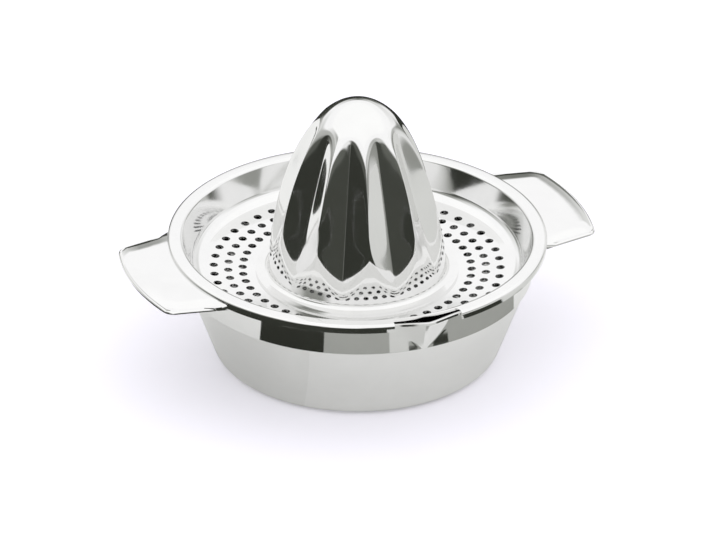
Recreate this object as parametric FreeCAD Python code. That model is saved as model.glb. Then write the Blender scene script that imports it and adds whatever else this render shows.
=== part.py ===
"""Hand citrus juicer of pressed stainless steel: a pouring bowl, a strainer dish with two flat
handles that rests on the bowl's rim, and a tall fluted reamer cone welded to the strainer.

Millimetres. The origin is the middle of the bowl's base, on the table. +Z is up, the handles
point along X, and the spout and the strainer's notch face -Y."""
import FreeCAD, Part
import math
import os

# All three pressings
sheet = 0.8                     # thickness of the steel sheet
rim_clearance = 0.1             # from the bowl's rim to the rounding inside the flange's edge

# Bowl, measured on its outer surface
rim_height = 43.4               # top edge of the rim, above the table
bowl_base_radius = 48.9         # where the line of the wall meets the table
base_corner = 5.0               # rounding between base and wall
ledge_height = 30.0             # top of the lower wall
ledge_width = 1.1               # step out to the upper band
ledge_rise = 0.7
ledge_rounding = 0.7
band_flare = 2.9                # how far the band widens from the ledge to the rim
rim_width = 0.7                 # how far the narrow rim is turned out from the band
rim_rounding = 0.6              # under the flat rim

# Spout, a V pressed out of the upper band
spout_reach = 2.6               # how far the lip stands out from the rim
spout_half_width = 11.6         # at the rim
spout_tip_rounding = 4.5        # of the lip, seen from above
spout_start = 0.05              # share of the V's full size at which it begins, on the ledge

# Strainer, measured on its upper surface
flange_radius = 65.7            # outside of the turned-down edge
skirt_drop = 2.8                # from the top of the flange to the lower edge of its skirt
flange_edge_rounding = 1.2
flange_width = 5.1              # from the top of the dish's wall to the flange's edge
dish_top_rounding = 1.3
dish_wall_run = 3.6             # how far the dish's wall leans in to its foot
dish_floor_rounding = 4.5
floor_height = 31.3             # at the middle ring of holes
floor_fall = math.radians(4.0)  # the floor falls towards the cone
notch_clearance = 0.8           # each side of the spout, at the flange's edge
notch_margin = 0.35             # flange left standing on the dish's wall in the notch

# Strainer's holes, three rings with the middle one half a step round
hole_diameter = 2.95
holes_per_ring = 48
ring_margin = 9.6               # from the edge of the cone's skirt to the middle ring
ring_spacing = 5.0

# Handles, flat tabs a step below the flange, with a turned-down edge
handle_reach = 83.0             # from the axis to the outer edge
handle_step = 1.3               # below the top of the flange
handle_root_angle = math.radians(26.0)
handle_tip_angle = math.radians(17.3)
handle_corner = 3.5
handle_edge_rounding = 1.2
handle_edge_drop = 2.0

# Reamer cone, measured on its outer surface
cone_radius = 30.5
cone_height = 62.7              # of the dome, above its foot's rounding
cone_flank = 1.85               # exponent of the dome's outline, 2 for an ellipse
foot_rounding = 2.0
foot_straight = 0.2              # upright side between that rounding and the dome
cone_skirt_width = 4.6          # from the cone's side to the edge of its skirt
flute_count = 10
flute_turn = math.radians(4.0)  # from the spout to the nearest flute
flute_low_height = 3.6          # above the dome's foot, where a flute's straight valley begins
flute_high_height = 55.3        # where it runs out of the dome
flute_valley_rounding = 2.5
ridge_width = 1.0               # of the dome left between two flutes
ridge_low_height = 18.5         # foot of the narrow part of a ridge
ridge_high_height = 46.5        # top of it
flute_sections = 13

# Spot welds between the cone's skirt and the strainer's floor
weld_count = 10
weld_diameter = 1.5
weld_bite = 0.5                 # how far each one reaches into the skirt
floor_lap = 3.8                 # floor that lies under the cone's skirt

# Worked out from the sizes above
flange_height = rim_height + sheet
rim_radius = flange_radius - max(flange_edge_rounding, sheet) - rim_clearance
dish_top_radius = flange_radius - flange_width
dish_floor_radius = dish_top_radius - dish_wall_run
notch_half_angle = math.asin((spout_half_width + notch_clearance) / flange_radius)
skirt_radius = cone_radius + cone_skirt_width
middle_ring_radius = skirt_radius + ring_margin
band_foot = ledge_height + ledge_rise
band_top_radius = rim_radius - rim_width
ledge_radius = band_top_radius - band_flare - ledge_width
beyond = 5.0                    # how far a cutting shape runs past what it cuts
near = 0.99                     # share of a length or direction that counts as the whole
axis_start = FreeCAD.Vector(0, 0, 0)
up = FreeCAD.Vector(0, 0, 1)


def point(radius, height):
    """A point of a turned outline, in the XZ plane."""
    return FreeCAD.Vector(radius, 0, height)


def line(start, end):
    return Part.LineSegment(start, end).toShape()


def left_of(start, end):
    """Unit vector to the left of the way from start to end, seen with X right and Z up."""
    way = end - start
    return FreeCAD.Vector(-way.z, 0, way.x).normalize()


def rounded(corners):
    """Edges through (radius, height, rounding) corners, in order. The two ends aren't rounded."""
    spots = [point(radius, height) for radius, height, rounding in corners]
    edges = []
    here = spots[0]
    for before, spot, after, corner in zip(spots, spots[1:], spots[2:], corners[1:-1]):
        into = (spot - before).normalize()
        out = (after - spot).normalize()
        turn = into.getAngle(out)
        if corner[2] > 0:
            tangent = corner[2] * math.tan(turn / 2)
            first = spot - into * tangent
            last = spot + out * tangent
            inward = (out - into).normalize()
            middle = spot + inward * (corner[2] / math.cos(turn / 2) - corner[2])
            edges.append(line(here, first))
            edges.append(Part.Arc(first, middle, last).toShape())
            here = last
        else:
            edges.append(line(here, spot))
            here = spot
    edges.append(line(here, spots[-1]))
    return edges


def shifted(corners, distance):
    """The same path moved to its left by a distance, with its roundings kept concentric."""
    spots = [point(radius, height) for radius, height, rounding in corners]
    moved = []
    for index, (spot, corner) in enumerate(zip(spots, corners)):
        first = left_of(spots[max(index - 1, 0)], spots[max(index, 1)])
        last_index = min(index, len(spots) - 2)
        second = left_of(spots[last_index], spots[last_index + 1])
        new = spot + (first + second) * (distance / (1 + first.dot(second)))
        turns_left = first.cross(second).y < 0
        rounding = corner[2] - distance if turns_left else corner[2] + distance
        moved.append((new.x, new.z, rounding if corner[2] > 0 else 0))
    return moved


def turned(edges):
    """A solid turned about Z from a closed outline."""
    return Part.Face(Part.Wire(edges)).revolve(axis_start, up, 360)


def polygon(*spots):
    """A closed outline of straight edges."""
    return [line(start, end) for start, end in zip(spots, spots[1:] + spots[:1])]


def sheet_outline(path, distance):
    """Closed outline of a sheet between a path and the same path moved to its left."""
    other = shifted(path, distance)
    first, last = point(*path[0][:2]), point(*path[-1][:2])
    other_first, other_last = point(*other[0][:2]), point(*other[-1][:2])
    return rounded(path) + [line(last, other_last)] + rounded(other[::-1]) + [line(other_first, first)]


def floor_level(radius):
    """Height of the strainer floor's upper surface."""
    return floor_height + (radius - middle_ring_radius) * math.tan(floor_fall)


def on_circle(radius, angle, height=0.0):
    return FreeCAD.Vector(radius * math.cos(angle), radius * math.sin(angle), height)


# Bowl
def band_radius(height):
    """Outside of the bowl's upper band, which runs straight up from the ledge."""
    share = (height - band_foot) / (rim_height - band_foot)
    return ledge_radius + ledge_width + share * (band_top_radius - ledge_radius - ledge_width)


def bowl_path():
    """The bowl's outer surface, up to the underside of its narrow flat rim."""
    under_rim = rim_height - sheet
    return [(0, 0, 0),
            (bowl_base_radius, 0, base_corner),
            (ledge_radius, ledge_height, ledge_rounding),
            (band_radius(band_foot), band_foot, ledge_rounding + sheet / 2),
            (band_radius(under_rim), under_rim, rim_rounding),
            (rim_radius, under_rim, 0)]


def spout_outline(wall, height, size):
    """The V of the spout at one height, out from a wall's radius and closed well inside the bowl.
    Its size runs from 0 on the ledge to 1 at the rim."""
    half = spout_half_width * size
    side = math.sqrt(wall ** 2 - half ** 2)
    tip = wall + spout_reach * size
    slope = math.atan2(half, tip - side)
    rounding = spout_tip_rounding * size
    back = rounding / math.tan(slope)
    first = FreeCAD.Vector(-back * math.sin(slope), -tip + back * math.cos(slope), height)
    last = FreeCAD.Vector(-first.x, first.y, height)
    middle = FreeCAD.Vector(0, -tip + rounding * (1 / math.sin(slope) - 1), height)
    left = FreeCAD.Vector(-half, -side, height)
    right = FreeCAD.Vector(half, -side, height)
    inner_left = FreeCAD.Vector(-half, -side + beyond, height)
    inner_right = FreeCAD.Vector(half, -side + beyond, height)
    return Part.Wire([line(inner_left, left), line(left, first),
                      Part.Arc(first, middle, last).toShape(),
                      line(last, right), line(right, inner_right), line(inner_right, inner_left)])


def spout(inset, top):
    """The solid V, from almost nothing on the ledge to its full size at the rim."""
    size = spout_start + (1 - spout_start) * (top - band_foot) / (rim_height - band_foot)
    wires = [spout_outline(band_radius(band_foot) - inset, band_foot, spout_start),
             spout_outline(band_radius(top) - inset, top, size)]
    return Part.makeLoft(wires, True, True)


def bowl():
    shell = turned(sheet_outline(bowl_path(), sheet))
    lip = Part.Face(spout_outline(rim_radius, rim_height - sheet, 1)).extrude(up * sheet)
    lean = math.atan2(band_top_radius + spout_reach - ledge_radius, rim_height - ledge_height)
    hollow = spout(sheet / math.cos(lean), rim_height + beyond)
    wall_inside = rounded(shifted(bowl_path(), sheet))
    closing = [line(point(rim_radius, rim_height), point(0, rim_height)),
               line(point(0, rim_height), point(0, sheet))]
    inside = turned(wall_inside + closing)
    return shell.fuse([spout(0, rim_height), lip]).cut([hollow, inside]).removeSplitter()


# Strainer
def strainer_path():
    hole = skirt_radius - floor_lap
    return [(hole, floor_level(hole), 0),
            (dish_floor_radius, floor_level(dish_floor_radius), dish_floor_rounding),
            (dish_top_radius, flange_height, dish_top_rounding),
            (flange_radius, flange_height, flange_edge_rounding),
            (flange_radius, flange_height - skirt_drop, 0)]


def tab_half_angle(radius, inset):
    """Half of a tab's width at a radius, as an angle, with its two long sides moved in."""
    root = on_circle(flange_radius, handle_root_angle)
    tip = on_circle(handle_reach, handle_tip_angle)
    across = FreeCAD.Vector(root.y - tip.y, tip.x - root.x, 0).normalize()
    return math.atan2(across.y, across.x) - math.acos((root.dot(across) - inset) / radius)


def tab(inset, top, thickness):
    """A slab in the shape of the +X handle, from inside the flange's skirt out to the handle's
    edge, with all its sides moved in."""
    root = flange_radius - sheet / 2 + inset
    reach = handle_reach - inset
    root_half = tab_half_angle(root, inset)
    reach_half = tab_half_angle(reach, inset)
    corners = [on_circle(root, -root_half, top), on_circle(reach, -reach_half, top),
               on_circle(reach, reach_half, top), on_circle(root, root_half, top)]
    outer_edge = Part.Arc(corners[1], on_circle(reach, 0, top), corners[2]).toShape()
    inner_edge = Part.Arc(corners[3], on_circle(root, 0, top), corners[0]).toShape()
    outline = Part.Wire([line(corners[0], corners[1]), outer_edge,
                         line(corners[2], corners[3]), inner_edge])
    slab = Part.Face(outline).extrude(up * -thickness)
    outer_corners = [edge for edge in slab.Edges
                     if abs(edge.tangentAt(edge.FirstParameter).z) > near
                     and math.hypot(edge.Vertexes[0].X, edge.Vertexes[0].Y) > reach * near]
    return slab.makeFillet(handle_corner - inset, outer_corners)


def handle():
    """The +X handle, rooted in the flange's skirt, with its free edges turned down."""
    top = flange_height - handle_step
    block = tab(0, top, handle_edge_drop)
    pocket = tab(sheet, top - sheet, handle_edge_drop)
    free = [edge for edge in block.Edges
            if min(vertex.Z for vertex in edge.Vertexes) > top - sheet
            and max(math.hypot(vertex.X, vertex.Y) for vertex in edge.Vertexes) > flange_radius]
    return block.makeFillet(handle_edge_rounding, free).cut(pocket)


def drilled_holes():
    """Three rings of holes through the floor, the middle ring half a step round."""
    holes = []
    for ring in (-1, 0, 1):
        radius = middle_ring_radius + ring * ring_spacing
        offset = 0.5 if ring == 0 else 0.0
        for index in range(holes_per_ring):
            angle = 2 * math.pi * (index + offset) / holes_per_ring
            holes.append(Part.makeCylinder(hole_diameter / 2, 2 * beyond,
                                           on_circle(radius, angle, floor_height - beyond)))
    return holes


def notch():
    """What is cut out of the flange and its skirt over the spout."""
    low = flange_height - skirt_drop - beyond
    height = skirt_drop + 2 * beyond
    sector = Part.makeCylinder(flange_radius + beyond, height, up * low, up,
                               2 * math.degrees(notch_half_angle))
    sector.rotate(axis_start, up, -90 - math.degrees(notch_half_angle))
    kept = dish_top_radius + dish_top_rounding + notch_margin
    return sector.cut(Part.makeCylinder(kept, height, up * low))


def strainer():
    ring = turned(sheet_outline(strainer_path(), -sheet))
    body = ring.cut(drilled_holes() + [notch()])
    right = handle()
    left = right.rotated(axis_start, up, 180)
    return body.fuse([right, left]).removeSplitter()


# Reamer cone
def skirt_level(radius):
    """Upper surface of the cone's skirt, which lies on the strainer's floor."""
    return floor_level(radius) + sheet / math.cos(floor_fall)


def dome_foot():
    """Height at which the dome begins, just above its foot's rounding."""
    turn = math.pi / 2 + floor_fall
    return skirt_level(cone_radius) + foot_rounding * math.tan(turn / 2) + foot_straight


def dome_radius(height):
    """Outline of the dome over the height above its foot."""
    share = min(height / cone_height, 1.0)
    return cone_radius * math.sqrt(1 - share ** cone_flank)


def dome_curve(inset):
    """The dome's outline from foot to tip, moved inwards by an inset."""
    foot = dome_foot()
    steps = 14
    step = 0.001
    spots = []
    for index in range(steps):
        height = cone_height * math.sin(math.pi / 2 * index / steps)
        slope = (dome_radius(height + step) - dome_radius(max(height - step, 0))) / (2 * step)
        inward = FreeCAD.Vector(-1, 0, slope).normalize()
        spots.append(point(dome_radius(height), foot + height) + inward * inset)
    spots[0] = point(cone_radius - inset, foot)
    spots.append(point(0, foot + cone_height - inset))
    curve = Part.BSplineCurve()
    curve.interpolate(spots, InitialTangent=up, FinalTangent=FreeCAD.Vector(-1, 0, 0))
    return curve.toShape()


def cone_path():
    skirt_end = skirt_level(skirt_radius)
    return [(skirt_radius, skirt_end, 0),
            (cone_radius, skirt_level(cone_radius), foot_rounding),
            (cone_radius, dome_foot() + beyond, 0)]


def valley_radius(height):
    """The straight valley of a flute, between two points of the dome's outline."""
    share = (height - flute_low_height) / (flute_high_height - flute_low_height)
    low = dome_radius(flute_low_height)
    return low + share * (dome_radius(flute_high_height) - low)


def flute_section(height, grow):
    """The V of the flute that faces +X, at a height above the dome's foot. Its walls lean back so
    far that they leave a narrow ridge on each side, between the ridge's two ends."""
    level = min(max(height, ridge_low_height), ridge_high_height)
    ridge = dome_radius(level)
    half = math.pi / flute_count - math.asin(ridge_width / 2 / ridge)
    across = ridge * math.sin(half)
    lean_back = math.atan2(ridge * math.cos(half) - valley_radius(level), across)
    run = (dome_radius(flute_low_height) - dome_radius(flute_high_height)) / (
        flute_high_height - flute_low_height)
    level_grow = grow * math.hypot(1, run)
    apex = valley_radius(height) - level_grow / math.cos(lean_back)
    rounding = flute_valley_rounding + grow
    tangent = rounding * math.tan(lean_back)
    length = across / math.cos(lean_back) + beyond

    def on_wall(distance, side):
        return FreeCAD.Vector(apex + distance * math.sin(lean_back),
                              side * distance * math.cos(lean_back), dome_foot() + height)

    middle = FreeCAD.Vector(apex + rounding / math.cos(lean_back) - rounding, 0,
                            dome_foot() + height)
    right_end, left_end = on_wall(length, -1), on_wall(length, 1)
    outside = FreeCAD.Vector(cone_radius, 0, 0)
    return Part.Wire([line(right_end, on_wall(tangent, -1)),
                      Part.Arc(on_wall(tangent, -1), middle, on_wall(tangent, 1)).toShape(),
                      line(on_wall(tangent, 1), left_end), line(left_end, left_end + outside),
                      line(left_end + outside, right_end + outside),
                      line(right_end + outside, right_end)])


def flute_cutter(grow):
    """What is cut out for the flute that faces +X, from the dome's foot to above its upper end."""
    top = flute_high_height + beyond
    heights = [top * index / (flute_sections - 1) for index in range(flute_sections)]
    return Part.makeLoft([flute_section(height, grow) for height in heights], True)


def fluted(solid, grow):
    """The solid with every flute cut out of it."""
    cutters = []
    for index in range(flute_count):
        cutter = flute_cutter(grow)
        turn = -90 + math.degrees(flute_turn) + 360 * index / flute_count
        cutter.rotate(axis_start, up, turn)
        cutters.append(cutter)
    return solid.cut(cutters)


def dome_solid(inset):
    """Everything under the cone's outer surface, or under its inner one."""
    path = shifted(cone_path(), inset)
    path[-1] = (path[-1][0], dome_foot(), 0)
    first = point(*path[0][:2])
    low = floor_level(0) - beyond - inset
    tip = point(0, dome_foot() + cone_height - inset)
    closing = [line(tip, point(0, low)), line(point(0, low), point(first.x, low)),
               line(point(first.x, low), first)]
    return turned(rounded(path) + [dome_curve(inset)] + closing)


def floor_slab(low, high):
    """All that lies between two heights over the strainer's sloping floor."""
    reach = skirt_radius + beyond
    return turned(polygon(point(0, floor_level(0) + low), point(reach, floor_level(reach) + low),
                          point(reach, floor_level(reach) + high), point(0, floor_level(0) + high)))


def cone_welds():
    """Weld nuggets through the strainer's floor into the cone's skirt, flush underneath."""
    flat_start = cone_radius + foot_rounding
    radius = (flat_start + skirt_radius) / 2
    bars = []
    for index in range(weld_count):
        turn = -math.pi / 2 + flute_turn + 2 * math.pi * index / weld_count
        bars.append(Part.makeCylinder(weld_diameter / 2, 2 * beyond,
                                      on_circle(radius, turn, floor_level(radius) - beyond)))
    return Part.makeCompound(bars).common(floor_slab(-sheet / math.cos(floor_fall), weld_bite))


def reamer_cone():
    """A shell of even thickness, with everything below the strainer's floor taken away."""
    below = floor_slab(-3 * beyond, 0)
    return fluted(dome_solid(0), 0).cut([fluted(dome_solid(sheet), sheet), below]).removeSplitter()


os.makedirs("parts", exist_ok=True)
welds = cone_welds()
parts = {
    "bowl": bowl(),
    "strainer": strainer().cut(welds),
    "reamer_cone": reamer_cone().cut(welds),
    "cone_welds": welds,
}
for name, shape in parts.items():
    shape.exportStep("parts/" + name + ".step")
    print(name, shape.isValid(), len(shape.Solids), round(shape.Volume), shape.BoundBox)
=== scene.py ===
"""Hand citrus juicer of polished stainless steel: pouring bowl, strainer with two flat handles and
a fluted reamer cone. Metres, +Z up, handles along X, spout towards -Y."""
import math
import bmesh
import bpy
from mathutils import Matrix, Vector


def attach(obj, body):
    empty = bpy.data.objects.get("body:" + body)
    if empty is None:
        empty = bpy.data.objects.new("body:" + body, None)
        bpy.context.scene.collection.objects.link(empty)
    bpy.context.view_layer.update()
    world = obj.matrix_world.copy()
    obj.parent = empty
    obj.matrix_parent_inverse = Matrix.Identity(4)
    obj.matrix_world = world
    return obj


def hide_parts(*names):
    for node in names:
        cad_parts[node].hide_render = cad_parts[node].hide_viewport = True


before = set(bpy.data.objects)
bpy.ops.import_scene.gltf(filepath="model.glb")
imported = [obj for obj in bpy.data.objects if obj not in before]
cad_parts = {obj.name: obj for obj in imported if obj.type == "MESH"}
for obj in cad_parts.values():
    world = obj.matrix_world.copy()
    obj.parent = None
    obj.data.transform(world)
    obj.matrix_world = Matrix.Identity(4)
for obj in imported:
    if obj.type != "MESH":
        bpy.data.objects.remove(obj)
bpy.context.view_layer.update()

# Bowl
# One deep-drawn stainless pressing, 0.8 mm thick: flat base, tapering wall, a small ledge, an upper
# band with a V-shaped pouring lip, and a narrow flat rim turned out. Polished bright all over.


def outline(bm, corners, segments=6):
    """A polyline through (radius, height, rounding) corners, its inner corners rounded by a bevel."""
    places = [Vector((radius, 0, height)) for radius, height, rounding in corners]
    spots = [bm.verts.new(place) for place in places]
    for pair in zip(spots, spots[1:]):
        bm.edges.new(pair)
    for index in range(1, len(places) - 1):
        turn = (places[index] - places[index - 1]).angle(places[index + 1] - places[index])
        if corners[index][2]:
            bmesh.ops.bevel(bm, geom=[spots[index]], offset=corners[index][2] * math.tan(turn / 2),
                            offset_type="OFFSET", segments=segments, profile=0.5,
                            affect="VERTICES", material=-1)
    return bm


def turn_round(bm, steps, start=0.0, angle=math.tau):
    """Turns a bmesh's outline to its starting angle and spins it about the Z axis."""
    bmesh.ops.rotate(bm, verts=bm.verts, cent=(0, 0, 0), matrix=Matrix.Rotation(start, 3, "Z"))
    bmesh.ops.spin(bm, geom=bm.verts[:] + bm.edges[:], cent=(0, 0, 0), axis=(0, 0, 1),
                   angle=angle, steps=steps, use_merge=angle == math.tau)


def add_to(bm, part):
    """Puts one bmesh's geometry into another."""
    mesh = bpy.data.meshes.new("part")
    part.to_mesh(mesh)
    part.free()
    bm.from_mesh(mesh)
    bpy.data.meshes.remove(mesh)


def soft_greater(one, other, softness):
    """The greater of two lengths, rounded over where they are nearly equal."""
    nearness = max(1 - abs(one - other) / softness, 0)
    return max(one, other) + nearness ** 2 * softness / 4


def finished(bm, name, node, material, sharp=math.radians(38)):
    """Makes the object, with smooth shading that breaks only at the sheet's cut edges."""
    mesh = bpy.data.meshes.new(name)
    bm.to_mesh(mesh)
    bm.free()
    for polygon in mesh.polygons:
        polygon.use_smooth = True
    mesh.set_sharp_from_angle(angle=sharp)
    mesh.materials.append(material)
    piece = bpy.data.objects.new(name, mesh)
    bpy.context.scene.collection.objects.link(piece)
    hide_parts(node)
    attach(piece, "bowl" if node == "bowl" else "strainer")
    return piece


def polished_steel(name, tint, marks, smudge):
    """Bright stainless with fine polishing marks round the Z axis and faint handling smudges."""
    marks_scale = 2600.0
    mark_height = 0.00001
    mark_roughness = 0.05
    smudge_scale = 55.0
    smudge_shade = 0.965
    clean_roughness = 0.035
    material = bpy.data.materials.new(name)
    material.use_nodes = True
    nodes = material.node_tree.nodes
    link = material.node_tree.links.new
    steel = nodes["Principled BSDF"]
    steel.inputs["Metallic"].default_value = 1.0
    place = nodes.new("ShaderNodeTexCoord")
    apart = nodes.new("ShaderNodeSeparateXYZ")
    link(place.outputs["Object"], apart.inputs["Vector"])
    flat = nodes.new("ShaderNodeCombineXYZ")
    link(apart.outputs["X"], flat.inputs["X"])
    link(apart.outputs["Y"], flat.inputs["Y"])
    radius = nodes.new("ShaderNodeVectorMath")
    radius.operation = "LENGTH"
    link(flat.outputs["Vector"], radius.inputs[0])
    section = nodes.new("ShaderNodeCombineXYZ")
    link(radius.outputs["Value"], section.inputs["X"])
    link(apart.outputs["Z"], section.inputs["Y"])
    fine = nodes.new("ShaderNodeTexNoise")
    fine.inputs["Scale"].default_value = marks_scale
    fine.inputs["Detail"].default_value = 3.0
    fine.inputs["Roughness"].default_value = 0.7
    link(section.outputs["Vector"], fine.inputs["Vector"])
    cloud = nodes.new("ShaderNodeTexNoise")
    cloud.inputs["Scale"].default_value = smudge_scale
    cloud.inputs["Detail"].default_value = 5.0
    cloud.inputs["Roughness"].default_value = 0.62
    cloud.inputs["Distortion"].default_value = 0.6
    link(place.outputs["Object"], cloud.inputs["Vector"])
    tone = nodes.new("ShaderNodeValToRGB")
    tone.color_ramp.elements[0].position = 0.35
    tone.color_ramp.elements[0].color = (*[value * smudge_shade for value in tint], 1)
    tone.color_ramp.elements[1].position = 0.68
    tone.color_ramp.elements[1].color = (*tint, 1)
    link(cloud.outputs["Fac"], tone.inputs["Fac"])
    link(tone.outputs["Color"], steel.inputs["Base Color"])
    haze = nodes.new("ShaderNodeMapRange")
    haze.inputs["From Min"].default_value = 0.42
    haze.inputs["From Max"].default_value = 0.75
    haze.inputs["To Min"].default_value = clean_roughness
    haze.inputs["To Max"].default_value = clean_roughness + smudge
    link(cloud.outputs["Fac"], haze.inputs["Value"])
    grain = nodes.new("ShaderNodeMath")
    grain.operation = "MULTIPLY_ADD"
    grain.inputs[1].default_value = mark_roughness
    link(fine.outputs["Fac"], grain.inputs[0])
    link(haze.outputs["Result"], grain.inputs[2])
    link(grain.outputs["Value"], steel.inputs["Roughness"])
    scratches = nodes.new("ShaderNodeBump")
    scratches.inputs["Strength"].default_value = marks
    scratches.inputs["Distance"].default_value = mark_height
    link(fine.outputs["Fac"], scratches.inputs["Height"])
    link(scratches.outputs["Normal"], steel.inputs["Normal"])
    return material


sheet = 0.0008
base_radius = 0.0489
base_rounding = 0.005
wall_top_radius = 0.0597
wall_top_level = 0.03
wall_top_rounding = 0.0007
ledge_radius = 0.0608
ledge_level = 0.0307
band_top_radius = 0.063
rim_rounding = 0.0006
rim_radius = 0.0644
under_rim = 0.0426
band_cuts = 16
bowl_steps = 160
lip_steps = 84
join_gap = 0.00001
bowl = outline(bmesh.new(), [(0, 0, 0),
                             (base_radius, 0, base_rounding),
                             (wall_top_radius, wall_top_level, wall_top_rounding),
                             (ledge_radius, ledge_level, 0)])
band = outline(bmesh.new(), [(ledge_radius, ledge_level, 0),
                             (band_top_radius, under_rim, rim_rounding),
                             (rim_radius, under_rim, 0)])
upright = [edge for edge in band.edges
           if abs(edge.verts[0].co.z - edge.verts[1].co.z) > (under_rim - ledge_level) / 2]
bmesh.ops.subdivide_edges(band, edges=upright, cuts=band_cuts)
add_to(bowl, band)
bmesh.ops.remove_doubles(bowl, verts=bowl.verts, dist=join_gap)
lip_turn = math.radians(14)
lip = bowl.copy()
turn_round(bowl, bowl_steps, -math.pi / 2 + lip_turn, math.tau - 2 * lip_turn)
turn_round(lip, lip_steps, -math.pi / 2 - lip_turn, 2 * lip_turn)
add_to(bowl, lip)
bmesh.ops.remove_doubles(bowl, verts=bowl.verts, dist=join_gap)

# The lip's V is deepest at the rim and all but gone at the ledge.
spout_half = 0.0116
spout_reach = 0.0026
spout_tip_softness = 0.0011
spout_root_softness = 0.0005
share_at_ledge = 0.05
past_root = 1.3
for spot in bowl.verts:
    climb = (spot.co.z - ledge_level) / (under_rim - ledge_level)
    share = share_at_ledge + (1 - share_at_ledge) * climb
    half = spout_half * share
    on_band = spot.co.z > ledge_level - join_gap
    if on_band and spot.co.y < 0 and abs(spot.co.x) < past_root * half:
        wall = spot.co.xy.length
        root = math.sqrt(wall ** 2 - half ** 2)
        tip = wall + spout_reach * share
        crease = tip - (tip - root) * math.hypot(spot.co.x, spout_tip_softness * share) / half
        round_wall = math.sqrt(wall ** 2 - spot.co.x ** 2)
        spot.co.y = -soft_greater(crease, round_wall, spout_root_softness * share)
bmesh.ops.recalc_face_normals(bowl, faces=bowl.faces)
if min(bowl.faces, key=lambda face: face.calc_center_median().z).normal.z > 0:
    bmesh.ops.reverse_faces(bowl, faces=bowl.faces)
bmesh.ops.solidify(bowl, geom=bowl.faces[:], thickness=sheet)
bowl_steel = polished_steel("polished steel, bowl", (0.83, 0.83, 0.822), marks=0.10, smudge=0.05)
finished(bowl, "polished_bowl", "bowl", bowl_steel)

# Strainer
# One pressing that rests on the bowl's rim: sloping floor with three rings of 48 punched holes,
# a leaning wall, a flat flange with a turned-down edge, and a notch cut out over the spout.
floor_lean = math.radians(4)
middle_ring = 0.0447
middle_level = 0.0313
ring_spacing = 0.005
hole_radius = 0.001475
holes_per_ring = 48
cell_side = 4
steps_round = cell_side * holes_per_ring


def floor_level(radius):
    """Height of the sloping floor's upper side at a radius."""
    return middle_level + (radius - middle_ring) * math.tan(floor_lean)


strainer = bmesh.new()
for ring in (-1, 0, 1):
    cell = bmesh.new()
    bmesh.ops.create_grid(cell, x_segments=cell_side, y_segments=cell_side, size=0.5)
    inside = [spot for spot in cell.verts if max(abs(spot.co.x), abs(spot.co.y)) < 0.49]
    bmesh.ops.delete(cell, geom=inside, context="VERTS")
    ring_radius = middle_ring + ring * ring_spacing
    for spot in cell.verts:
        angle = spot.co.x * math.tau / holes_per_ring
        reach = ring_radius + spot.co.y * ring_spacing
        spot.co = (reach * math.cos(angle), reach * math.sin(angle), 0)
    bmesh.ops.create_circle(cell, segments=4 * cell_side, radius=hole_radius,
                            matrix=Matrix.Translation((ring_radius, 0, 0)))
    bmesh.ops.bridge_loops(cell, edges=cell.edges)
    if ring == 0:
        bmesh.ops.rotate(cell, verts=cell.verts, cent=(0, 0, 0),
                         matrix=Matrix.Rotation(math.pi / holes_per_ring, 3, "Z"))
    bmesh.ops.spin(cell, geom=cell.verts[:] + cell.edges[:] + cell.faces[:], cent=(0, 0, 0),
                   axis=(0, 0, 1), angle=math.tau * (1 - 1 / holes_per_ring),
                   steps=holes_per_ring - 1, use_duplicate=True)
    add_to(strainer, cell)
for spot in strainer.verts:
    spot.co.z = floor_level(spot.co.xy.length)

inner_edge = 0.0313
inner_border = middle_ring - 1.5 * ring_spacing
outer_border = middle_ring + 1.5 * ring_spacing
dish_foot_radius = 0.057
dish_foot_rounding = 0.0045
mouth_radius = 0.0606
mouth_rounding = 0.0013
notch_line = 0.06225
flange_top = 0.0442
flange_radius = 0.0657
flange_rounding = 0.0012
flange_drop = 0.0028
lap = outline(bmesh.new(), [(inner_edge, floor_level(inner_edge), 0),
                            (inner_border, floor_level(inner_border), 0)])
turn_round(lap, steps_round)
add_to(strainer, lap)
dish = outline(bmesh.new(), [(outer_border, floor_level(outer_border), 0),
                             (dish_foot_radius, floor_level(dish_foot_radius), dish_foot_rounding),
                             (mouth_radius, flange_top, mouth_rounding),
                             (notch_line, flange_top, 0),
                             (flange_radius, flange_top, flange_rounding),
                             (flange_radius, flange_top - flange_drop, 0)], segments=8)
turn_round(dish, steps_round)
add_to(strainer, dish)
bmesh.ops.remove_doubles(strainer, verts=strainer.verts, dist=join_gap)


def middle(part):
    """The middle of a vertex, an edge or a face."""
    if isinstance(part, bmesh.types.BMVert):
        return part.co
    return sum((spot.co for spot in part.verts), Vector()) / len(part.verts)


notch_half_width = 0.0124
notch_cuts_from = 0.058
notch_turn = math.asin(notch_half_width / flange_radius)
hair = 0.000001
for side in (-1, 1):
    across = Vector((math.cos(notch_turn), -side * math.sin(notch_turn), 0))
    near = [part for part in strainer.faces[:] + strainer.edges[:] + strainer.verts[:]
            if middle(part).y < -notch_cuts_from]
    bmesh.ops.bisect_plane(strainer, geom=near, dist=hair, plane_co=(0, 0, 0), plane_no=across)
cut = []
for face in strainer.faces:
    spot = middle(face)
    between = spot.y < 0 and abs(spot.x / spot.y) < math.tan(notch_turn)
    if between and spot.xy.length > notch_line:
        cut.append(face)
bmesh.ops.delete(strainer, geom=cut, context="FACES")
bmesh.ops.recalc_face_normals(strainer, faces=strainer.faces)
if min(strainer.faces, key=lambda face: middle(face).xy.length).normal.z < 0:
    bmesh.ops.reverse_faces(strainer, faces=strainer.faces)
bmesh.ops.solidify(strainer, geom=strainer.faces[:], thickness=sheet)
strainer_steel = polished_steel("polished steel, strainer", (0.86, 0.86, 0.855), marks=0.06,
                                smudge=0.05)
finished(strainer, "polished_strainer", "strainer", strainer_steel)

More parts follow.
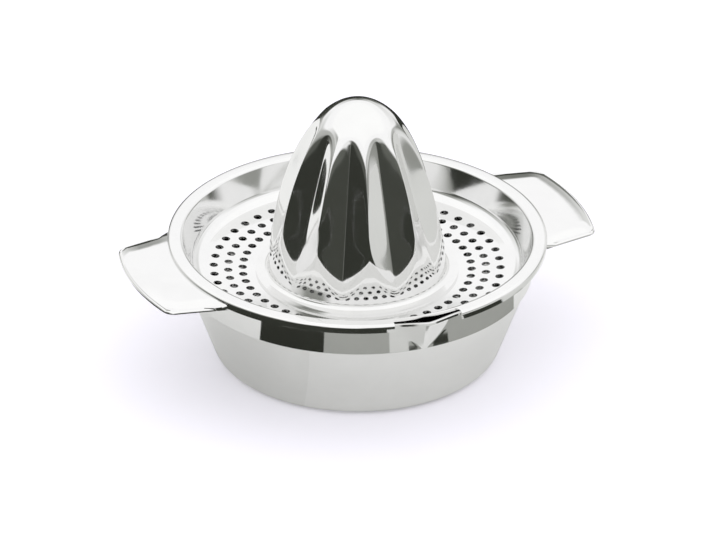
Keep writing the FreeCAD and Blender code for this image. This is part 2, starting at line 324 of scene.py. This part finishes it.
# Handles
# Two flat tabs of the strainer's own sheet, pressed a step below the flange, with their three free
# edges rolled down so that they don't cut the fingers.
handle_top = flange_top - 0.0013
handle_bottom = handle_top - 0.002
handle_reach = 0.083
root_half = math.radians(26)
tip_half = math.radians(17.3)
root_lap = 0.0004
tip_rounding = 0.0026
roll_width = 0.0011
roll_drops = (0.0009, 0.0003)
fold_rounding = 0.0008
handle = bmesh.new()
for reach, half in ((flange_radius - root_lap, root_half), (handle_reach, tip_half)):
    arc = bmesh.new()
    first = arc.verts.new((reach * math.cos(half), -reach * math.sin(half), handle_top))
    bmesh.ops.spin(arc, geom=[first], cent=(0, 0, 0), axis=(0, 0, 1), angle=2 * half, steps=12)
    add_to(handle, arc)
outward = bmesh.ops.bridge_loops(handle, edges=handle.edges)["edges"]
bmesh.ops.subdivide_edges(handle, edges=outward, cuts=4)
tip_corners = sorted(handle.verts, key=lambda spot: (round(spot.co.xy.length, 6), abs(spot.co.y)))[-2:]
bmesh.ops.bevel(handle, geom=tip_corners, offset=tip_rounding, offset_type="OFFSET", segments=6,
                profile=0.5, affect="VERTICES", material=-1)
flat = handle.faces[:]
for drop in roll_drops:
    border = {spot for edge in handle.edges for spot in edge.verts
              if len(set(edge.link_faces) & set(flat)) == 1}
    bmesh.ops.inset_region(handle, faces=flat, thickness=roll_width, use_even_offset=True)
    free = [spot for spot in border if spot.co.xy.length > flange_radius + 2 * roll_width]
    bmesh.ops.translate(handle, vec=(0, 0, -drop), verts=free)
copied = bmesh.ops.extrude_face_region(handle, geom=handle.faces[:])["geom"]
for spot in [part for part in copied if isinstance(part, bmesh.types.BMVert)]:
    spot.co.z = handle_bottom
bmesh.ops.recalc_face_normals(handle, faces=handle.faces)
fold = [edge for edge in handle.edges
        if min(spot.co.z for spot in edge.verts) > handle_bottom + join_gap
        and max(spot.co.xy.length for spot in edge.verts) > flange_radius
        and edge.calc_face_angle() > math.radians(45)]
bmesh.ops.bevel(handle, geom=fold, offset=fold_rounding, offset_type="OFFSET", segments=4,
                profile=0.5, affect="EDGES", material=-1)
under = [face for face in handle.faces if face.normal.z < -0.9]
bmesh.ops.inset_region(handle, faces=under, thickness=sheet)
hollow = {spot for face in under for spot in face.verts}
bmesh.ops.translate(handle, vec=(0, 0, handle_top - sheet - handle_bottom), verts=list(hollow))
bmesh.ops.spin(handle, geom=handle.verts[:] + handle.edges[:] + handle.faces[:], cent=(0, 0, 0),
               axis=(0, 0, 1), angle=math.pi, steps=1, use_duplicate=True)
finished(handle, "polished_handles", "strainer", strainer_steel)

# Reamer cone
# A tall drawn shell with ten flutes pressed in and soft ridges between them, open underneath. Its
# small skirt laps the strainer's floor and is spot-welded to it.
cone_radius = 0.0305
cone_height = 0.0627
dome_fullness = 1.85
foot_rounding = 0.002
foot_straight = 0.0002
foot_round_top = (floor_level(cone_radius + foot_rounding)
                  + (sheet + foot_rounding) / math.cos(floor_lean))
dome_foot = foot_round_top + foot_straight
skirt_radius = 0.0351
flute_count = 10
flute_turn = math.radians(4)
flute_low = 0.0036
flute_high = 0.0553
ridge_width = 0.001
ridge_low = 0.0185
ridge_high = 0.0545
ridge_fade = 0.0012
ridge_softness = 0.0011
narrow_dome = 0.012
valley_softness = 0.0008
column_crowding = 1.5


def dome_radius(height, inset):
    """The dome's outline over the height above its foot, moved inwards."""
    share = min(max(height / (cone_height - inset), 0), 1)
    return (cone_radius - inset) * math.sqrt(1 - share ** dome_fullness)


def fluted_radius(angle, height, inset):
    """Radius of the cone's surface at an angle from the middle of a flute. The flute is a V with a
    soft straight valley, and its walls leave a narrow ridge of the dome on each side."""
    low, high = dome_radius(flute_low, 0), dome_radius(flute_high, 0)
    run = (low - high) / (flute_high - flute_low)
    level = (height + ridge_low) / 2 + math.hypot((height - ridge_low) / 2, ridge_fade)
    level = (level + ridge_high) / 2 - math.hypot((level - ridge_high) / 2, ridge_fade)
    ridge = dome_radius(level, 0)
    half = math.pi / flute_count - math.asin(ridge_width / 2 / ridge)
    lean_back = math.atan2(ridge * math.cos(half) - low + run * (level - flute_low),
                           ridge * math.sin(half))
    valley = low - run * (height - flute_low) - inset * math.hypot(1, run) / math.cos(lean_back)
    reach = valley
    for correction in range(6):
        aside = math.hypot(reach * math.sin(angle), valley_softness) - valley_softness
        reach = (valley + math.tan(lean_back) * aside) / math.cos(angle)
    dome = dome_radius(height, inset)
    softness = max(ridge_softness * min(dome / narrow_dome, 1), hair)
    return -soft_greater(-reach, -dome, softness)


def fluted_sheet(inset, columns, rows):
    """One surface of the shell: half a flute, mirrored and repeated, then drawn out to the skirt.
    Its columns stand closer together near the ridge, and its rows near the top."""
    shell = bmesh.new()
    bmesh.ops.create_grid(shell, x_segments=columns, y_segments=rows, size=0.5)
    for spot in shell.verts:
        angle = math.pi / flute_count * (1 - (0.5 - spot.co.x) ** column_crowding)
        height = (cone_height - inset) * math.sin(math.pi / 2 * (spot.co.y + 0.5))
        reach = fluted_radius(angle, height, inset)
        spot.co = (reach * math.cos(angle), reach * math.sin(angle), dome_foot + height)
    bmesh.ops.mirror(shell, geom=shell.verts[:] + shell.edges[:] + shell.faces[:], axis="Y",
                     merge_dist=hair)
    bmesh.ops.spin(shell, geom=shell.verts[:] + shell.edges[:] + shell.faces[:], cent=(0, 0, 0),
                   axis=(0, 0, 1), angle=math.tau * (1 - 1 / flute_count),
                   steps=flute_count - 1, use_duplicate=True)
    bmesh.ops.remove_doubles(shell, verts=shell.verts, dist=4 * hair)
    turns = [math.radians(turn) for turn in (0, 15, 30, 45, 60, 77, 94)]
    path = [(cone_radius + foot_rounding - (foot_rounding + inset) * math.cos(turn),
             foot_round_top - (foot_rounding + inset) * math.sin(turn)) for turn in turns]
    skirt_level = floor_level(skirt_radius) + (sheet - inset) / math.cos(floor_lean)
    path.append((skirt_radius, skirt_level))
    before = cone_radius - inset
    level = dome_foot
    for reach, height in path:
        border = [edge for edge in shell.edges if edge.is_boundary]
        ring = bmesh.ops.extrude_edge_only(shell, edges=border)["geom"]
        moved = [part for part in ring if isinstance(part, bmesh.types.BMVert)]
        bmesh.ops.scale(shell, verts=moved, vec=(reach / before, reach / before, 1))
        bmesh.ops.translate(shell, verts=moved, vec=(0, 0, height - level))
        before = reach
        level = height
    return shell


cone = fluted_sheet(0.0, columns=20, rows=120)
add_to(cone, fluted_sheet(sheet, columns=10, rows=60))
bmesh.ops.bridge_loops(cone, edges=[edge for edge in cone.edges if edge.is_boundary])
bmesh.ops.recalc_face_normals(cone, faces=cone.faces)
bmesh.ops.rotate(cone, verts=cone.verts, cent=(0, 0, 0),
                 matrix=Matrix.Rotation(-math.pi / 2 + flute_turn, 3, "Z"))
cone_steel = polished_steel("polished steel, cone", (0.85, 0.85, 0.843), marks=0.05, smudge=0.04)
finished(cone, "polished_cone", "reamer_cone", cone_steel, math.radians(60))

# Spot welds
# Ten fused nuggets that hold the cone's skirt to the floor. From below each shows as a small dull
# button, a little proud of the sheet.
weld_ring = 0.0338
weld_level = floor_level(weld_ring) - sheet
weld_proud = 0.00005
weld_depth = 0.0006
weld_foot_radius = 0.00062
weld_root_radius = 0.00075
welds = bmesh.new()
weld_middle = Vector((weld_ring, 0, weld_level - weld_proud + weld_depth / 2))
bmesh.ops.create_cone(welds, cap_ends=True, segments=20, radius1=weld_foot_radius,
                      radius2=weld_root_radius, depth=weld_depth,
                      matrix=Matrix.Translation(weld_middle))
lower = [edge for edge in welds.edges
         if max(spot.co.z for spot in edge.verts) < weld_level]
bmesh.ops.bevel(welds, geom=lower, offset=0.0001, offset_type="OFFSET", segments=2, profile=0.5,
                affect="EDGES", material=-1)
bmesh.ops.spin(welds, geom=welds.verts[:] + welds.edges[:] + welds.faces[:], cent=(0, 0, 0),
               axis=(0, 0, 1), angle=math.tau * (1 - 1 / flute_count), steps=flute_count - 1,
               use_duplicate=True)
bmesh.ops.rotate(welds, verts=welds.verts, cent=(0, 0, 0),
                 matrix=Matrix.Rotation(-math.pi / 2 + flute_turn, 3, "Z"))
weld_steel = polished_steel("dull weld steel", (0.5, 0.5, 0.49), marks=0.3, smudge=0.3)
finished(welds, "weld_buttons", "cone_welds", weld_steel)

# Floor
# A plain white floor that keeps the juicer's soft shadow, faintly violet where it is deepest. A
# little light of its own keeps it white.
floor_radius = 3.0
floor_sheet = bmesh.new()
bmesh.ops.create_circle(floor_sheet, cap_ends=True, segments=96, radius=floor_radius)
floor_mesh = bpy.data.meshes.new("floor")
floor_sheet.to_mesh(floor_mesh)
floor_sheet.free()
floor = bpy.data.objects.new("floor", floor_mesh)
bpy.context.scene.collection.objects.link(floor)
paper = bpy.data.materials.new("white floor")
paper.use_nodes = True
matt = paper.node_tree.nodes["Principled BSDF"]
matt.inputs["Base Color"].default_value = (0.82, 0.8, 0.88, 1)
matt.inputs["Emission Color"].default_value = (1, 1, 1, 1)
matt.inputs["Emission Strength"].default_value = 0.24
matt.inputs["Roughness"].default_value = 1.0
matt.inputs["Specular IOR Level"].default_value = 0.0
floor_mesh.materials.append(paper)

# Flags
# Matt cards laid on the floor that only the metal's reflections see, as a studio's flags are: grey
# ones all round, dark ones in front, at the sides and behind, and small ones close to the bowl.
camera_side = math.radians(-112.2)
dark = 0.034


def warm_grey(level):
    """A grey that turns slightly olive as it gets darker."""
    return (level ** 1.02, level, level ** 1.06, 1)


def flag(name, level, first, last, near_edge, far_edge, lift):
    """A flat card between two angles, in whole degrees from the camera's side, and two distances."""
    card = bmesh.new()
    start = camera_side + math.radians(first)
    ends = [card.verts.new((reach * math.cos(start), reach * math.sin(start), lift))
            for reach in (near_edge, far_edge)]
    card.edges.new(ends)
    bmesh.ops.spin(card, geom=ends + card.edges[:], cent=(0, 0, 0), axis=(0, 0, 1),
                   angle=math.radians(last - first), steps=last - first)
    mesh = bpy.data.meshes.new(name)
    card.to_mesh(mesh)
    card.free()
    cloth = bpy.data.materials.new(name)
    cloth.use_nodes = True
    matt_cloth = cloth.node_tree.nodes["Principled BSDF"]
    matt_cloth.inputs["Base Color"].default_value = warm_grey(level)
    matt_cloth.inputs["Roughness"].default_value = 1.0
    matt_cloth.inputs["Specular IOR Level"].default_value = 0.0
    mesh.materials.append(cloth)
    piece = bpy.data.objects.new(name, mesh)
    bpy.context.scene.collection.objects.link(piece)
    piece.visible_camera = False
    piece.visible_diffuse = False
    piece.visible_shadow = False


flag("grey_flag", 0.93, -22, 180, 0.02, 0.12, 0.0003)
flag("far_grey_flag", 0.66, -22, 180, 0.12, 2.9, 0.0003)
flag("grey_left_flag", 0.88, -180, -22, 0.02, 2.9, 0.0003)
flag("grey_right_flag", 0.4, -15, 92, 0.080, 0.125, 0.0005)
flag("lip_flag", 0.7, 15, 24, 0.074, 0.096, 0.0007)
flag("lip_spot_flag", dark, 36, 44, 0.0846, 0.0894, 0.0007)
flag("lip_edge_flag", dark, 24, 28, 0.0852, 0.0872, 0.0007)
flag("left_flag", dark, -104, -35, 0.112, 2.9, 0.0006)
flag("front_flag", dark, -35, 14, 0.135, 2.9, 0.0006)
flag("front_right_flag", dark, 14, 52, 0.155, 2.9, 0.0006)
flag("right_flag", dark, 52, 76, 0.125, 0.165, 0.0006)
flag("near_flag", dark, -47, -15, 0.0772, 0.100, 0.0006)
flag("back_flag", dark, 148, 212, 0.10, 2.9, 0.0006)

# Light
# An even white surround that lights everything. What the metal mirrors of it is darker near the
# horizon, in three belts, as a room with a few dark and grey walls round a white ceiling.
world = bpy.data.worlds.new("studio")
world.use_nodes = True
bpy.context.scene.world = world
sky = world.node_tree.nodes
join = world.node_tree.links.new
white = 1.15
way = sky.new("ShaderNodeTexCoord")
turned_way = sky.new("ShaderNodeMapping")
turned_way.inputs["Rotation"].default_value = (0, 0, -camera_side)
join(way.outputs["Generated"], turned_way.inputs["Vector"])
around = sky.new("ShaderNodeTexGradient")
around.gradient_type = "RADIAL"
join(turned_way.outputs["Vector"], around.inputs["Vector"])
way_parts = sky.new("ShaderNodeSeparateXYZ")
join(way.outputs["Generated"], way_parts.inputs["Vector"])


def belt(above, highest, fade, tones):
    """Lays a belt of greys round the horizon, up to a height, over what stands above it. Each tone
    is an angle from the camera's side and a brightness."""
    ramp = sky.new("ShaderNodeValToRGB")
    ramp.color_ramp.elements[1].position = 1.0
    for element, level in zip(ramp.color_ramp.elements, (tones[0][1], tones[-1][1])):
        element.color = warm_grey(level)
    for angle, level in tones[1:-1]:
        ramp.color_ramp.elements.new(angle / 360 + 0.5).color = warm_grey(level)
    join(around.outputs["Fac"], ramp.inputs["Fac"])
    height = sky.new("ShaderNodeMapRange")
    height.inputs["From Min"].default_value = math.sin(math.radians(highest))
    height.inputs["From Max"].default_value = math.sin(math.radians(highest + fade))
    join(way_parts.outputs["Z"], height.inputs["Value"])
    mix = sky.new("ShaderNodeMix")
    mix.data_type = "RGBA"
    join(height.outputs["Result"], mix.inputs["Factor"])
    join(ramp.outputs["Color"], mix.inputs["A"])
    if isinstance(above, float):
        mix.inputs["B"].default_value = (above, above, above, 1)
    else:
        join(above, mix.inputs["B"])
    return mix.outputs["Result"]


upper_belt = belt(white, 36, 6, [(-180, 1.1), (-100, 1.1), (-82, 0.75), (-72, 0.35), (-48, 0.35),
                                 (-34, 1.1), (180, 1.1)])
middle_belt = belt(upper_belt, 21, 4, [(-180, 0.2), (-168, 0.7), (-150, 1.1), (-125, 0.8),
                                       (-100, 0.55), (-84, 0.5), (-70, 0.1), (-22, 0.1),
                                       (-14, 0.95), (0, 0.95), (6, 0.12), (34, 0.14), (42, 0.7),
                                       (56, 0.5), (80, 0.8), (110, 1.1), (166, 0.8), (180, 0.2)])
low_belt = belt(middle_belt, 9, 3, [(-180, 0.05), (-150, 0.06), (-142, 0.4), (-132, 0.8),
                                    (-120, 0.72), (-104, 0.4), (-94, 0.15), (-84, 0.036),
                                    (-21, 0.036), (-20, 0.26), (-18.5, 0.26), (-17.5, 0.06),
                                    (52, 0.06), (60, 0.3), (80, 0.35), (96, 0.9), (110, 0.8),
                                    (120, 0.3), (136, 0.4), (146, 0.95), (158, 1.0),
                                    (166, 0.2), (180, 0.05)])
seen = sky.new("ShaderNodeLightPath")
mirrored = sky.new("ShaderNodeMix")
mirrored.data_type = "RGBA"
mirrored.inputs["A"].default_value = (white, white, white, 1)
join(low_belt, mirrored.inputs["B"])
join(seen.outputs["Is Glossy Ray"], mirrored.inputs["Factor"])
backdrop = sky.new("ShaderNodeMix")
backdrop.data_type = "RGBA"
backdrop.inputs["B"].default_value = (1, 1, 1, 1)
join(mirrored.outputs["Result"], backdrop.inputs["A"])
join(seen.outputs["Is Camera Ray"], backdrop.inputs["Factor"])
join(backdrop.outputs["Result"], sky["Background"].inputs["Color"])

# Camera
# A long lens, a little above the juicer and left of its spout, aimed at the middle of the strainer
# and tilted a third of a degree.
camera_distance = 2.5337
camera_climb = math.radians(28.71)
camera_tilt = math.radians(0.34)
aim_shift = Vector((0.0003, -0.0011, 0))
camera_data = bpy.data.cameras.new("camera")
camera_data.lens = 367.5
camera_data.clip_end = 20
camera = bpy.data.objects.new("camera", camera_data)
bpy.context.scene.collection.objects.link(camera)
facing = Vector((math.cos(camera_side) * math.cos(camera_climb),
                 math.sin(camera_side) * math.cos(camera_climb), math.sin(camera_climb)))
level_view = (-facing).to_track_quat("-Z", "Y").to_matrix()
view = level_view @ Matrix.Rotation(camera_tilt, 3, "Z")
target = Vector((0, 0, middle_level)) + view @ aim_shift
camera.matrix_world = Matrix.Translation(target + facing * camera_distance) @ view.to_4x4()
bpy.context.scene.camera = camera
bpy.context.scene.view_settings.view_transform = "Standard"
